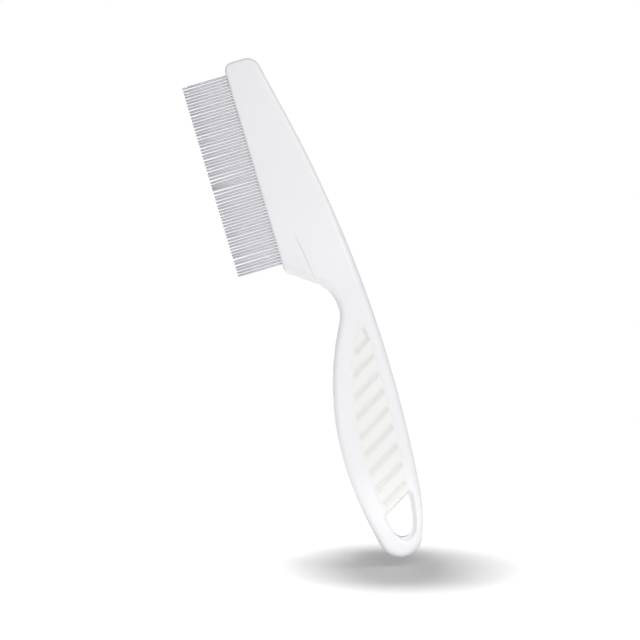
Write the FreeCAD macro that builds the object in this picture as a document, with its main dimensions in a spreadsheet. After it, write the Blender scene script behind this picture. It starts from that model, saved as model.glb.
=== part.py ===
# Flea comb: a one-piece moulded handle and head, a soft ribbed grip insert, and a row of steel pins.
#
# Frame: +Z runs up the comb from the tail to the head, the pins point along -X, and the comb is
# symmetric about Y = 0. Every sub-part is drawn from the tooth edge (the straight edge of the head
# that the pins leave) as X = 0, and its Placement then moves it so that the origin lies under the
# middle of the whole comb, level with the end of the tail.
import FreeCAD, Part
import math
import os
import Sketcher

V = FreeCAD.Vector

DIMENSIONS = {
    # Whole comb
    "comb_length": 180.0,
    "tooth_edge_x": -4.9,        # where the tooth edge lies from the middle of the comb
    # Tail: a round end, and a blend from it into the spine
    "tail_radius": 7.6,
    "tail_centre_x": 12.3,
    "tail_blend_radius": 56.0,
    # Spine: the long back edge, one shallow arc that runs into a straight line near the head's top
    "spine_radius": 441.0,
    "spine_reach": 25.6,         # furthest point of the spine from the tooth edge
    "spine_centre_z": 66.0,
    "spine_straight_z": 158.0,
    # Belly and neck: the finger side of the handle
    "belly_radius": 97.0,
    "belly_reach": 1.0,
    "belly_centre_z": 37.0,
    "neck_radius": 12.0,
    "neck_centre_z": 89.2,
    # Head
    "heel_radius": 3.0,          # the lower corner of the tooth edge
    "heel_centre_z": 107.3,
    "crown_front_radius": 3.0,
    "crown_back_radius": 4.5,
    "head_thickness": 5.0,
    # Blade: the flat part of the head under the raised neck, and the line where the neck steps up
    "blade_thickness": 5.6,
    "step_high_x": 5.4,
    "step_high_z": 128.0,
    "step_low_x": 10.2,
    "step_low_z": 94.0,
    # Handle section
    "handle_thickness": 8.0,
    "handle_edge_radius": 2.2,
    "neck_fade_low_z": 92.0,     # the neck thins between these heights
    "neck_fade_high_z": 128.0,
    "tail_fade_z": 40.0,
    "tail_end_thickness": 6.0,
    # Window for the grip insert and the hang hole
    "rim_front": 6.3,            # width of the rim on the belly side
    "rim_back": 4.1,             # and on the spine side
    "window_end_radius": 3.3,
    "window_end_x": 13.8,
    "window_end_z": 9.9,
    "window_blend_radius": 26.0,
    "window_top_radius": 1.4,
    "window_edge_radius": 0.9,
    # Grip insert
    "insert_thickness": 7.4,
    "insert_low_z": 9.9,         # height of its slanted lower end where it crosses the tooth edge's line
    "groove_slope": 30.0,
    "groove_width": 1.3,
    "groove_depth": 1.2,
    "groove_pitch": 6.25,
    "groove_first_z": 13.7,      # height of the lowest groove where it crosses the tooth edge's line
    "groove_count": 9,
    # Pins and the bar that holds them
    "pin_count": 65,
    "pin_pitch": 1.05,
    "pin_diameter": 0.7,
    "pin_reach": 15.8,           # from the tooth edge to the tip
    "pin_root": 4.2,             # depth of the root behind the tooth edge
    "pin_first_z": 108.9,
    "slot_width": 2.0,
    "slot_depth": 5.0,
    "slot_low_z": 108.1,
    "slot_high_z": 176.9,
    "bar_setback": 0.8,          # how far the bar's face lies inside the slot
}

doc = FreeCAD.newDocument("FleaComb")
sheet = doc.addObject("Spreadsheet::Sheet", "sheet")
for row, (alias, number) in enumerate(DIMENSIONS.items(), start=1):
    sheet.set(f"A{row}", alias)
    sheet.set(f"B{row}", str(number))
    sheet.setAlias(f"B{row}", alias)
doc.recompute()


def size(alias):
    """A driving dimension, read from the sheet."""
    return float(sheet.get(alias))


def new_body(label):
    body = doc.addObject("PartDesign::Body", label)
    body.Label = label
    return body


def new_sketch(body, name, role):
    """A sketch on one of the body's own origin planes."""
    plane = next(item for item in body.Origin.OriginFeatures if item.Role == role)
    sketch = body.newObject("Sketcher::SketchObject", name)
    sketch.AttachmentSupport = [(plane, "")]
    sketch.MapMode = "FlatFace"
    return sketch


def arc(sketch, centre, radius, start, end, counterclockwise=True):
    """Add the arc from start to end about centre; returns its index and its start and end marks."""
    first, last = (start, end) if counterclockwise else (end, start)
    angles = [math.atan2(point.y - centre.y, point.x - centre.x) for point in (first, last)]
    circle = Part.Circle(centre, V(0, 0, 1), radius)
    index = sketch.addGeometry(Part.ArcOfCircle(circle, angles[0], angles[1]), False)
    return (index, 1, 2) if counterclockwise else (index, 2, 1)


def line(sketch, start, end):
    return (sketch.addGeometry(Part.LineSegment(start, end), False), 1, 2)


def chain(sketch, pieces, corners=()):
    """Join each piece's end to the next one's start: tangent, or only touching at a named corner."""
    for place, piece in enumerate(pieces):
        following = pieces[(place + 1) % len(pieces)]
        kind = "Coincident" if place in corners else "Tangent"
        sketch.addConstraint(Sketcher.Constraint(kind, piece[0], piece[2], following[0], following[1]))


def hold(sketch, name, kind, geometry, value, expression):
    """One named dimension of a sketch, bound to the sheet."""
    number = sketch.addConstraint(Sketcher.Constraint(kind, *geometry, value))
    sketch.renameConstraint(number, name)
    sketch.setExpression(f"Constraints.{name}", expression)


def circle_meeting(centre_a, reach_a, centre_b, reach_b, side):
    """The point at reach_a from one centre and reach_b from the other, on the named side."""
    apart = centre_b - centre_a
    along = (reach_a ** 2 - reach_b ** 2 + apart.Length ** 2) / (2 * apart.Length)
    across = math.sqrt(reach_a ** 2 - along ** 2)
    unit = V(apart).normalize()
    return centre_a + unit * along + V(-unit.y, unit.x, 0) * across * side


def towards(start, goal, distance):
    return start + V(goal - start).normalize() * distance


def touch_point(outside, centre, radius, side):
    """Where the line from an outside point touches a circle, on the named side of its centre."""
    gap = V(centre - outside)
    return circle_meeting(outside, math.sqrt(gap.Length ** 2 - radius ** 2), centre, radius, side)


# Centres and radii that the outline and the window share, in sketch coordinates: x across the comb
# from the tooth edge, y up the comb.
TAIL = V(size("tail_centre_x"), size("tail_radius"), 0)
SPINE = V(size("spine_reach") - size("spine_radius"), size("spine_centre_z"), 0)
BELLY = V(size("belly_reach") + size("belly_radius"), size("belly_centre_z"), 0)
VERTICAL_AXIS = -2               # the sketcher's number for a sketch's own Y axis


def spine_point(height):
    rise = height - SPINE.y
    return V(SPINE.x + math.sqrt(size("spine_radius") ** 2 - rise ** 2), height, 0)


def arc_round_end(front_x, end, end_radius):
    """The arc that leaves the belly's widest height upright and touches a round end from outside."""
    reach, drop = end.x - front_x, BELLY.y - end.y
    radius = (reach ** 2 + drop ** 2 - end_radius ** 2) / (2 * (reach - end_radius))
    return V(front_x + radius, BELLY.y, 0), radius


# Handle body: tail, grip, neck and head are one moulding.
def comb_outline(body):
    sketch = new_sketch(body, "comb_outline", "XZ_Plane")
    tail_r, blend_r, spine_r = size("tail_radius"), size("tail_blend_radius"), size("spine_radius")
    belly_r, neck_r, heel_r = size("belly_radius"), size("neck_radius"), size("heel_radius")
    back_r, front_r = size("crown_back_radius"), size("crown_front_radius")
    crown_z = size("comb_length")
    # Tail and spine
    blend = circle_meeting(SPINE, spine_r - blend_r, TAIL, blend_r - tail_r, 1)
    tail_back = towards(blend, TAIL, blend_r)
    spine_low = towards(SPINE, blend, spine_r)
    spine_high = spine_point(size("spine_straight_z"))
    # Crown
    outward = towards(V(0, 0, 0), spine_high - SPINE, 1)
    upward = V(-outward.y, outward.x, 0)
    rise = (crown_z - back_r - spine_high.y + back_r * outward.y) / upward.y
    straight_high = spine_high + upward * rise
    back = straight_high - outward * back_r
    front = V(front_r, crown_z - front_r, 0)
    # Heel, neck and belly
    heel = V(heel_r, size("heel_centre_z"), 0)
    belly_neck_gap = belly_r + neck_r
    neck_rise = size("neck_centre_z") - BELLY.y
    neck = V(BELLY.x - math.sqrt(belly_neck_gap ** 2 - neck_rise ** 2), size("neck_centre_z"), 0)
    crossing = heel + V(neck - heel) * (heel_r / (heel_r + neck_r))
    heel_low = touch_point(crossing, heel, heel_r, 1)
    neck_high = touch_point(crossing, neck, neck_r, 1)
    neck_low = towards(neck, BELLY, neck_r)
    belly_low = V(size("belly_reach"), BELLY.y, 0)
    lower, lower_r = arc_round_end(size("belly_reach"), TAIL, tail_r)
    tail_front = towards(lower, TAIL, lower_r)
    pieces = [
        arc(sketch, TAIL, tail_r, tail_front, tail_back),
        arc(sketch, blend, blend_r, tail_back, spine_low),
        arc(sketch, SPINE, spine_r, spine_low, spine_high),
        line(sketch, spine_high, straight_high),
        arc(sketch, back, back_r, straight_high, V(back.x, crown_z, 0)),
        line(sketch, V(back.x, crown_z, 0), V(front.x, crown_z, 0)),
        arc(sketch, front, front_r, V(front.x, crown_z, 0), V(0, front.y, 0)),
        line(sketch, V(0, front.y, 0), V(0, heel.y, 0)),
        arc(sketch, heel, heel_r, V(0, heel.y, 0), heel_low),
        line(sketch, heel_low, neck_high),
        arc(sketch, neck, neck_r, neck_high, neck_low, False),
        arc(sketch, BELLY, belly_r, neck_low, belly_low),
        arc(sketch, lower, lower_r, belly_low, tail_front),
    ]
    chain(sketch, pieces)
    (tail_arc, blend_arc, spine_arc, straight, back_arc, crown, front_arc, tooth_edge, heel_arc, _,
     neck_arc, belly_arc, lower_arc) = [piece[0] for piece in pieces]
    hold(sketch, "tail_radius", "Radius", (tail_arc,), tail_r, "sheet.tail_radius")
    hold(sketch, "tail_x", "DistanceX", (tail_arc, 3), TAIL.x, "sheet.tail_centre_x")
    hold(sketch, "tail_z", "DistanceY", (tail_arc, 3), TAIL.y, "sheet.tail_radius")
    hold(sketch, "blend_radius", "Radius", (blend_arc,), blend_r, "sheet.tail_blend_radius")
    hold(sketch, "spine_radius", "Radius", (spine_arc,), spine_r, "sheet.spine_radius")
    hold(sketch, "spine_x", "DistanceX", (spine_arc, 3), SPINE.x, "sheet.spine_reach - sheet.spine_radius")
    hold(sketch, "spine_z", "DistanceY", (spine_arc, 3), SPINE.y, "sheet.spine_centre_z")
    hold(sketch, "straight_z", "DistanceY", (straight, 1), spine_high.y, "sheet.spine_straight_z")
    hold(sketch, "back_radius", "Radius", (back_arc,), back_r, "sheet.crown_back_radius")
    hold(sketch, "crown_z", "DistanceY", (crown, 1), crown_z, "sheet.comb_length")
    sketch.addConstraint(Sketcher.Constraint("Horizontal", crown))
    hold(sketch, "front_radius", "Radius", (front_arc,), front_r, "sheet.crown_front_radius")
    sketch.addConstraint(Sketcher.Constraint("PointOnObject", tooth_edge, 1, VERTICAL_AXIS))
    sketch.addConstraint(Sketcher.Constraint("PointOnObject", tooth_edge, 2, VERTICAL_AXIS))
    hold(sketch, "heel_radius", "Radius", (heel_arc,), heel_r, "sheet.heel_radius")
    hold(sketch, "heel_z", "DistanceY", (heel_arc, 3), heel.y, "sheet.heel_centre_z")
    hold(sketch, "neck_radius", "Radius", (neck_arc,), neck_r, "sheet.neck_radius")
    hold(sketch, "neck_z", "DistanceY", (neck_arc, 3), neck.y, "sheet.neck_centre_z")
    hold(sketch, "belly_radius", "Radius", (belly_arc,), belly_r, "sheet.belly_radius")
    hold(sketch, "belly_x", "DistanceX", (belly_arc, 3), BELLY.x, "sheet.belly_reach + sheet.belly_radius")
    hold(sketch, "belly_z", "DistanceY", (belly_arc, 3), BELLY.y, "sheet.belly_centre_z")
    hold(sketch, "lower_z", "DistanceY", (lower_arc, 3), BELLY.y, "sheet.belly_centre_z")
    return sketch


def pad_through(body, name, sketch, expression):
    """A pad of equal depth to both sides of its sketch."""
    pad = body.newObject("PartDesign::Pad", name)
    pad.Profile = sketch
    pad.Midplane = True
    pad.setExpression("Length", expression)
    return pad


def pocket_through(body, name, sketch):
    pocket = body.newObject("PartDesign::Pocket", name)
    pocket.Profile = sketch
    pocket.Midplane = True
    pocket.Type = "ThroughAll"
    return pocket


def mirror_front_to_back(body, name, feature):
    """Repeat a front feature on the back; the comb is the same on both faces."""
    mirrored = body.newObject("PartDesign::Mirrored", name)
    mirrored.Originals = [feature]
    plane = next(item for item in body.Origin.OriginFeatures if item.Role == "XZ_Plane")
    mirrored.MirrorPlane = (plane, [""])
    body.Tip = mirrored
    return mirrored


def repeat_upwards(body, name, feature, family):
    """Repeat a feature up the comb, by the pitch and the count that the sheet gives its family."""
    pattern = body.newObject("PartDesign::LinearPattern", name)
    pattern.Originals = [feature]
    upward = next(item for item in body.Origin.OriginFeatures if item.Role == "Z_Axis")
    pattern.Direction = (upward, [""])
    pattern.setExpression("Length", f"sheet.{family}_pitch * (sheet.{family}_count - 1)")
    pattern.setExpression("Occurrences", f"sheet.{family}_count")
    body.Tip = pattern
    return pattern


def round_edges(body, name, base, wanted, expression):
    """Fillet the edges of a feature that the wanted test picks out."""
    edges = [f"Edge{number}" for number, edge in enumerate(base.Shape.Edges, start=1) if wanted(edge)]
    fillet = body.newObject("PartDesign::Fillet", name)
    fillet.Base = (base, edges)
    fillet.setExpression("Radius", expression)
    return fillet


def middle(edge):
    return edge.valueAt((edge.FirstParameter + edge.LastParameter) / 2)


def runs_along(edge, direction):
    """Whether an edge is straight and parallel to a direction."""
    chord = edge.Vertexes[-1].Point - edge.Vertexes[0].Point
    straight = abs(chord.Length - edge.Length) < 1e-6 and chord.Length > 0
    return straight and abs(abs(chord.normalize().dot(direction)) - 1) < 1e-6


# The faces are thinner at both ends of the comb. Each thinning cuts a slice off the front, bounded
# by shallow arcs in the side view, and is mirrored to the back.
def neck_slice(body):
    """From the neck's full thickness to the head's, along two equal arcs that make a shallow S."""
    sketch = new_sketch(body, "neck_slice", "YZ_Plane")
    low_y, high_y = -size("handle_thickness") / 2, -size("head_thickness") / 2
    low_z, high_z, top_z = (size(name) for name in ("neck_fade_low_z", "neck_fade_high_z", "comb_length"))
    half_run, half_drop = (high_z - low_z) / 2, (high_y - low_y) / 2
    radius = (half_run ** 2 + half_drop ** 2) / (2 * half_drop)
    bend = V(low_y + half_drop, low_z + half_run, 0)
    outside = low_y * 2
    above = top_z + size("handle_thickness")
    pieces = [
        arc(sketch, V(low_y + radius, low_z, 0), radius, V(low_y, low_z, 0), bend, False),
        arc(sketch, V(high_y - radius, high_z, 0), radius, bend, V(high_y, high_z, 0)),
        line(sketch, V(high_y, high_z, 0), V(high_y, above, 0)),
        line(sketch, V(high_y, above, 0), V(outside, above, 0)),
        line(sketch, V(outside, above, 0), V(outside, low_z, 0)),
        line(sketch, V(outside, low_z, 0), V(low_y, low_z, 0)),
    ]
    chain(sketch, pieces, corners=(2, 3, 4, 5))
    low_arc, high_arc, head_face, top, far, bottom = [piece[0] for piece in pieces]
    for side, direction in ((head_face, "Vertical"), (top, "Horizontal"), (far, "Vertical"),
                            (bottom, "Horizontal")):
        sketch.addConstraint(Sketcher.Constraint(direction, side))
    sketch.addConstraint(Sketcher.Constraint("Equal", low_arc, high_arc))
    hold(sketch, "low_y", "DistanceX", (bottom, 2), low_y, "-sheet.handle_thickness / 2")
    hold(sketch, "low_z", "DistanceY", (bottom, 2), low_z, "sheet.neck_fade_low_z")
    hold(sketch, "centre_z", "DistanceY", (low_arc, 3), low_z, "sheet.neck_fade_low_z")
    hold(sketch, "high_y", "DistanceX", (head_face, 1), high_y, "-sheet.head_thickness / 2")
    hold(sketch, "high_z", "DistanceY", (head_face, 1), high_z, "sheet.neck_fade_high_z")
    hold(sketch, "above_z", "DistanceY", (top, 1), above, "sheet.comb_length + sheet.handle_thickness")
    hold(sketch, "outside_y", "DistanceX", (far, 1), outside, "-sheet.handle_thickness")
    return sketch


def tail_slice(body):
    """From the grip's full thickness down to the tail's end, along one shallow arc."""
    sketch = new_sketch(body, "tail_slice", "YZ_Plane")
    high_y, low_y = -size("handle_thickness") / 2, -size("tail_end_thickness") / 2
    high_z, low_z = size("tail_fade_z"), 0.0
    drop = low_y - high_y
    radius = (high_z ** 2 + drop ** 2) / (2 * drop)
    outside = high_y * 2
    pieces = [
        arc(sketch, V(high_y + radius, high_z, 0), radius, V(high_y, high_z, 0), V(low_y, low_z, 0)),
        line(sketch, V(low_y, low_z, 0), V(outside, low_z, 0)),
        line(sketch, V(outside, low_z, 0), V(outside, high_z, 0)),
        line(sketch, V(outside, high_z, 0), V(high_y, high_z, 0)),
    ]
    chain(sketch, pieces, corners=(0, 1, 2, 3))
    curve, bottom, far, top = [piece[0] for piece in pieces]
    for side, direction in ((bottom, "Horizontal"), (far, "Vertical"), (top, "Horizontal")):
        sketch.addConstraint(Sketcher.Constraint(direction, side))
    hold(sketch, "high_y", "DistanceX", (top, 2), high_y, "-sheet.handle_thickness / 2")
    hold(sketch, "high_z", "DistanceY", (top, 2), high_z, "sheet.tail_fade_z")
    hold(sketch, "centre_z", "DistanceY", (curve, 3), high_z, "sheet.tail_fade_z")
    hold(sketch, "low_y", "DistanceX", (bottom, 1), low_y, "-sheet.tail_end_thickness / 2")
    hold(sketch, "low_z", "DistanceY", (bottom, 1), low_z, "0")
    hold(sketch, "outside_y", "DistanceX", (far, 1), outside, "-sheet.handle_thickness")
    return sketch


def blade_step(body):
    """The region beside the raised neck that is cut back to the blade's face."""
    sketch = new_sketch(body, "blade_step", "XZ_Plane")
    high = V(size("step_high_x"), size("step_high_z"), 0)
    low = V(size("step_low_x"), size("step_low_z"), 0)
    outside = -size("step_low_x")
    corners = [low, high, V(outside, high.y, 0), V(outside, low.y, 0)]
    pieces = [line(sketch, corners[side], corners[(side + 1) % 4]) for side in range(4)]
    chain(sketch, pieces, corners=range(4))
    step, top, far, bottom = [piece[0] for piece in pieces]
    for side, direction in ((top, "Horizontal"), (far, "Vertical"), (bottom, "Horizontal")):
        sketch.addConstraint(Sketcher.Constraint(direction, side))
    hold(sketch, "low_x", "DistanceX", (step, 1), low.x, "sheet.step_low_x")
    hold(sketch, "low_z", "DistanceY", (step, 1), low.y, "sheet.step_low_z")
    hold(sketch, "high_x", "DistanceX", (step, 2), high.x, "sheet.step_high_x")
    hold(sketch, "high_z", "DistanceY", (step, 2), high.y, "sheet.step_high_z")
    hold(sketch, "outside_x", "DistanceX", (far, 1), outside, "-sheet.step_low_x")
    sketch.setExpression("AttachmentOffset.Base.z", "sheet.blade_thickness / 2")
    return sketch


def window_outline(body, name):
    """The leaf-shaped window: the belly's and the spine's arcs moved inwards, with rounded ends."""
    sketch = new_sketch(body, name, "XZ_Plane")
    front_r = size("belly_radius") - size("rim_front")
    back_r = size("spine_radius") - size("rim_back")
    end_r, blend_r, top_r = (size(f"window_{part}_radius") for part in ("end", "blend", "top"))
    end = V(size("window_end_x"), size("window_end_z"), 0)
    front_x = BELLY.x - front_r
    low, low_r = arc_round_end(front_x, end, end_r)
    blend = circle_meeting(SPINE, back_r - blend_r, end, blend_r - end_r, 1)
    top = circle_meeting(SPINE, back_r - top_r, BELLY, front_r - top_r, 1)
    widest = V(front_x, BELLY.y, 0)
    joints = [
        towards(low, end, low_r), towards(blend, end, blend_r), towards(SPINE, blend, back_r),
        towards(SPINE, top, back_r), towards(BELLY, top, front_r), widest,
    ]
    pieces = [
        arc(sketch, end, end_r, joints[0], joints[1]),
        arc(sketch, blend, blend_r, joints[1], joints[2]),
        arc(sketch, SPINE, back_r, joints[2], joints[3]),
        arc(sketch, top, top_r, joints[3], joints[4]),
        arc(sketch, BELLY, front_r, joints[4], joints[5]),
        arc(sketch, low, low_r, joints[5], joints[0]),
    ]
    chain(sketch, pieces)
    end_arc, blend_arc, back_arc, top_arc, front_arc, low_arc = [piece[0] for piece in pieces]
    hold(sketch, "end_radius", "Radius", (end_arc,), end_r, "sheet.window_end_radius")
    hold(sketch, "end_x", "DistanceX", (end_arc, 3), end.x, "sheet.window_end_x")
    hold(sketch, "end_z", "DistanceY", (end_arc, 3), end.y, "sheet.window_end_z")
    hold(sketch, "blend_radius", "Radius", (blend_arc,), blend_r, "sheet.window_blend_radius")
    hold(sketch, "back_radius", "Radius", (back_arc,), back_r, "sheet.spine_radius - sheet.rim_back")
    hold(sketch, "back_x", "DistanceX", (back_arc, 3), SPINE.x, "sheet.spine_reach - sheet.spine_radius")
    hold(sketch, "back_z", "DistanceY", (back_arc, 3), SPINE.y, "sheet.spine_centre_z")
    hold(sketch, "top_radius", "Radius", (top_arc,), top_r, "sheet.window_top_radius")
    hold(sketch, "front_radius", "Radius", (front_arc,), front_r, "sheet.belly_radius - sheet.rim_front")
    hold(sketch, "front_x", "DistanceX", (front_arc, 3), BELLY.x, "sheet.belly_reach + sheet.belly_radius")
    hold(sketch, "front_z", "DistanceY", (front_arc, 3), BELLY.y, "sheet.belly_centre_z")
    hold(sketch, "low_z", "DistanceY", (low_arc, 3), BELLY.y, "sheet.belly_centre_z")
    return sketch


EDGE_MARGIN = 1.0                # mm: how close a tested edge may lie to a limit and still count


def on_outline(edge):
    """An edge round the outline of a face: not a seam through the thickness, nor across the face."""
    point = middle(edge)
    across = runs_along(edge, V(0, 1, 0)) or runs_along(edge, V(1, 0, 0))
    return abs(point.y) > EDGE_MARGIN and not across


def inside_window(edge):
    """An outline edge of the window, which lies between the rims of the handle."""
    point = middle(edge)
    front = V(point.x, point.z, 0).distanceToPoint(BELLY)
    back = V(point.x, point.z, 0).distanceToPoint(SPINE)
    clear_of_front = front < size("belly_radius") - size("rim_front") + EDGE_MARGIN
    clear_of_back = back < size("spine_radius") - size("rim_back") + EDGE_MARGIN
    low = size("window_end_z") - size("window_end_radius") - EDGE_MARGIN
    return on_outline(edge) and clear_of_front and clear_of_back and low < point.z < size("neck_centre_z")


def rectangle(sketch, low_x, high_x, low_z, high_z, expressions):
    """A rectangle whose four sides are bound to expressions, in the order of its arguments."""
    corners = [V(low_x, low_z, 0), V(high_x, low_z, 0), V(high_x, high_z, 0), V(low_x, high_z, 0)]
    pieces = [line(sketch, corners[side], corners[(side + 1) % 4]) for side in range(4)]
    chain(sketch, pieces, corners=range(4))
    index = [piece[0] for piece in pieces]
    for side, direction in enumerate(("Horizontal", "Vertical", "Horizontal", "Vertical")):
        sketch.addConstraint(Sketcher.Constraint(direction, index[side]))
    hold(sketch, "low_x", "DistanceX", (index[0], 1), low_x, expressions[0])
    hold(sketch, "high_x", "DistanceX", (index[2], 1), high_x, expressions[1])
    hold(sketch, "low_z", "DistanceY", (index[0], 1), low_z, expressions[2])
    hold(sketch, "high_z", "DistanceY", (index[2], 1), high_z, expressions[3])


def make_handle_body():
    handle = new_body("handle_body")
    pad_through(handle, "comb_pad", comb_outline(handle), "sheet.handle_thickness")
    doc.recompute()
    for name, outline in (("neck_thinning", neck_slice), ("tail_thinning", tail_slice)):
        cut = pocket_through(handle, name, outline(handle))
        doc.recompute()
        thinned = mirror_front_to_back(handle, name + "_back", cut)
        doc.recompute()
    round_edges(handle, "outline_rounding", thinned, on_outline, "sheet.handle_edge_radius")
    doc.recompute()
    step = handle.newObject("PartDesign::Pocket", "step")
    step.Profile = blade_step(handle)
    step.Type = "ThroughAll"
    step.Reversed = True
    doc.recompute()
    mirror_front_to_back(handle, "step_back", step)
    doc.recompute()
    window = pocket_through(handle, "window", window_outline(handle, "window_outline"))
    doc.recompute()
    round_edges(handle, "window_rounding", window, inside_window, "sheet.window_edge_radius")
    doc.recompute()
    slot = new_sketch(handle, "slot_outline", "XZ_Plane")
    rectangle(slot, -size("slot_depth"), size("slot_depth"), size("slot_low_z"), size("slot_high_z"),
              ("-sheet.slot_depth", "sheet.slot_depth", "sheet.slot_low_z", "sheet.slot_high_z"))
    cut = handle.newObject("PartDesign::Pocket", "slot")
    cut.Profile = slot
    cut.Midplane = True
    cut.setExpression("Length", "sheet.slot_width")
    doc.recompute()
    return handle


# Grip insert: a soft ribbed pad that fills the window down to the hang hole.
def slanted_band(body, name, low_z, high_z, expressions):
    """A band across the insert that rises to the spine at the grooves' slope."""
    sketch = new_sketch(body, name, "XZ_Plane")
    rise = size("spine_reach") * math.tan(math.radians(size("groove_slope")))
    far = size("spine_reach")
    corners = [V(0, low_z, 0), V(far, low_z + rise, 0), V(far, high_z + rise, 0), V(0, high_z, 0)]
    pieces = [line(sketch, corners[side], corners[(side + 1) % 4]) for side in range(4)]
    chain(sketch, pieces, corners=range(4))
    low, right, high, left = [piece[0] for piece in pieces]
    sketch.addConstraint(Sketcher.Constraint("Vertical", right))
    sketch.addConstraint(Sketcher.Constraint("PointOnObject", left, 1, VERTICAL_AXIS))
    sketch.addConstraint(Sketcher.Constraint("PointOnObject", left, 2, VERTICAL_AXIS))
    sketch.addConstraint(Sketcher.Constraint("Parallel", low, high))
    hold(sketch, "low_z", "DistanceY", (low, 1), low_z, expressions[0])
    hold(sketch, "high_z", "DistanceY", (left, 1), high_z, expressions[1])
    hold(sketch, "far_x", "DistanceX", (low, 2), far, "sheet.spine_reach")
    hold(sketch, "far_z", "DistanceY", (low, 2), low_z + rise,
         expressions[0] + " + sheet.spine_reach * tan(sheet.groove_slope * 1 deg)")
    return sketch


def make_grip_insert():
    insert = new_body("grip_insert")
    pad_through(insert, "insert_pad", window_outline(insert, "insert_outline"), "sheet.insert_thickness")
    doc.recompute()
    below = slanted_band(insert, "lower_end",
                         size("insert_low_z") - size("comb_length"), size("insert_low_z"),
                         ("sheet.insert_low_z - sheet.comb_length", "sheet.insert_low_z"))
    pocket_through(insert, "lower_end_cut", below)
    doc.recompute()
    for side, sign in (("front", 1), ("back", -1)):
        half = size("groove_width") / 2 / math.cos(math.radians(size("groove_slope")))
        half_expression = "sheet.groove_width / 2 / cos(sheet.groove_slope * 1 deg)"
        groove = slanted_band(insert, side + "_groove", size("groove_first_z") - half,
                              size("groove_first_z") + half,
                              ("sheet.groove_first_z - " + half_expression,
                               "sheet.groove_first_z + " + half_expression))
        groove.setExpression("AttachmentOffset.Base.z",
                             f"{sign} * (sheet.insert_thickness / 2 - sheet.groove_depth)")
        cut = insert.newObject("PartDesign::Pocket", side + "_groove_cut")
        cut.Profile = groove
        cut.Type = "ThroughAll"
        cut.Reversed = sign > 0
        doc.recompute()
        repeat_upwards(insert, side + "_grooves", cut, "groove")
        doc.recompute()
    return insert


# Pins: one round steel pin with a domed tip, repeated up the tooth edge.
def make_pins():
    pins = new_body("pins")
    pins.AllowCompound = True
    sketch = new_sketch(pins, "pin_section", "XZ_Plane")
    radius = size("pin_diameter") / 2
    root, tip = size("pin_root"), -size("pin_reach")
    height = size("pin_first_z")
    dome = V(tip + radius, height, 0)
    points = [V(tip, height, 0), V(root, height, 0), V(root, height + radius, 0),
              V(tip + radius, height + radius, 0)]
    pieces = [
        line(sketch, points[0], points[1]),
        line(sketch, points[1], points[2]),
        line(sketch, points[2], points[3]),
        arc(sketch, dome, radius, points[3], points[0]),
    ]
    chain(sketch, pieces, corners=(0, 1, 3))
    axis, end, side, domed = [piece[0] for piece in pieces]
    sketch.addConstraint(Sketcher.Constraint("Horizontal", axis))
    sketch.addConstraint(Sketcher.Constraint("Vertical", end))
    sketch.addConstraint(Sketcher.Constraint("Horizontal", side))
    sketch.addConstraint(Sketcher.Constraint("PointOnObject", domed, 3, axis))
    hold(sketch, "tip_x", "DistanceX", (axis, 1), tip, "-sheet.pin_reach")
    hold(sketch, "root_x", "DistanceX", (axis, 2), root, "sheet.pin_root")
    hold(sketch, "first_z", "DistanceY", (axis, 1), height, "sheet.pin_first_z")
    hold(sketch, "radius", "Radius", (domed,), radius, "sheet.pin_diameter / 2")
    turned = pins.newObject("PartDesign::Revolution", "pin")
    turned.Profile = sketch
    turned.ReferenceAxis = (sketch, ["Edge1"])
    turned.Angle = 360
    doc.recompute()
    repeat_upwards(pins, "pin_row", turned, "pin")
    return pins


# Pin bar: the strip in the head's slot that the pins' roots are moulded into.
def make_pin_bar():
    bar = new_body("pin_bar")
    section = new_sketch(bar, "bar_outline", "XZ_Plane")
    rectangle(section, size("bar_setback"), size("slot_depth"), size("slot_low_z"), size("slot_high_z"),
              ("sheet.bar_setback", "sheet.slot_depth", "sheet.slot_low_z", "sheet.slot_high_z"))
    pad_through(bar, "bar_pad", section, "sheet.slot_width")
    doc.recompute()
    socket = new_sketch(bar, "socket_section", "YZ_Plane")
    centre = V(0, size("pin_first_z"), 0)
    index = socket.addGeometry(Part.Circle(centre, V(0, 0, 1), size("pin_diameter") / 2), False)
    socket.addConstraint(Sketcher.Constraint("PointOnObject", index, 3, VERTICAL_AXIS))
    hold(socket, "radius", "Radius", (index,), size("pin_diameter") / 2, "sheet.pin_diameter / 2")
    hold(socket, "first_z", "DistanceY", (index, 3), centre.y, "sheet.pin_first_z")
    drilled = bar.newObject("PartDesign::Pocket", "socket")
    drilled.Profile = socket
    drilled.Reversed = True
    drilled.setExpression("Length", "sheet.pin_root")
    doc.recompute()
    repeat_upwards(bar, "sockets", drilled, "pin")
    return bar


nodes = [make_handle_body(), make_grip_insert(), make_pin_bar(), make_pins()]
for node in nodes:
    node.setExpression("Placement.Base.x", "sheet.tooth_edge_x")
doc.recompute()

solids_wanted = {"handle_body": 1, "grip_insert": 1, "pin_bar": 1, "pins": int(size("pin_count"))}
for item in doc.Objects:
    if "Invalid" in item.State or "Error" in item.State:
        raise RuntimeError(f"{item.Label} did not compute: {item.State}")
    if item.TypeId == "Sketcher::SketchObject" and not item.FullyConstrained:
        raise RuntimeError(f"{item.Label} is not fully constrained")
for node in nodes:
    shape = node.Shape
    if shape.isNull() or not shape.isValid() or len(shape.Solids) != solids_wanted[node.Label]:
        raise RuntimeError(f"{node.Label} is not the solid it should be")

os.makedirs("parts", exist_ok=True)
for node in nodes:
    node.Shape.exportStep(f"parts/{node.Label}.step")
    box = node.Shape.BoundBox
    print(f"{node.Label}: {len(node.Shape.Solids)} solid(s), {node.Shape.Volume:.0f} mm3, "
          f"x {box.XMin:.2f} to {box.XMax:.2f}, y {box.YMin:.2f} to {box.YMax:.2f}, "
          f"z {box.ZMin:.2f} to {box.ZMax:.2f}")
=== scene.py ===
import math

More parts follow.
